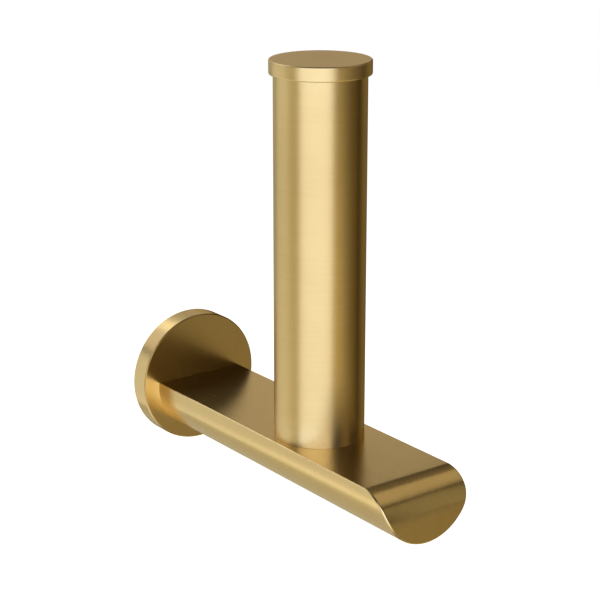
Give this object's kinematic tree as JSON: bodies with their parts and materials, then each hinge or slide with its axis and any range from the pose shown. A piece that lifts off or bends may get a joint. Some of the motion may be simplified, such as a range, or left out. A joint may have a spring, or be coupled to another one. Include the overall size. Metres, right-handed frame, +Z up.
{
  "type": "upright toilet roll holder",
  "caption": "Wall-mounted upright toilet roll holder: a round rosette, a half-round arm with a flat top, and a capped post for the roll.",
  "frame": {"origin": "centre of the rosette's back face, on the wall plane", "axes": "+X to the right seen from the room, +Y into the wall, +Z up along the post"},
  "size_m": [0.05, 0.145, 0.1595],
  "materials": {
    "brushed_brass": "fine brushed, lacquered",
    "satin_brass": "satin, lacquered",
    "plain_brass": "machined",
    "zinc": "die-cast, dull",
    "steel": "stainless, turned",
    "rubber": "matt black"
  },
  "bodies": {
    "root": {"wall_rosette": "satin_brass", "wall_bracket": "zinc", "rosette_set_screw": "steel", "arm": "satin_brass", "arm_screw": "steel", "arm_locating_pins": "steel", "post_tube": "brushed_brass", "post_foot_insert": "plain_brass", "post_stud": "steel", "post_cap": "brushed_brass", "cap_ring": "rubber"}
  },
  "joints": []
}
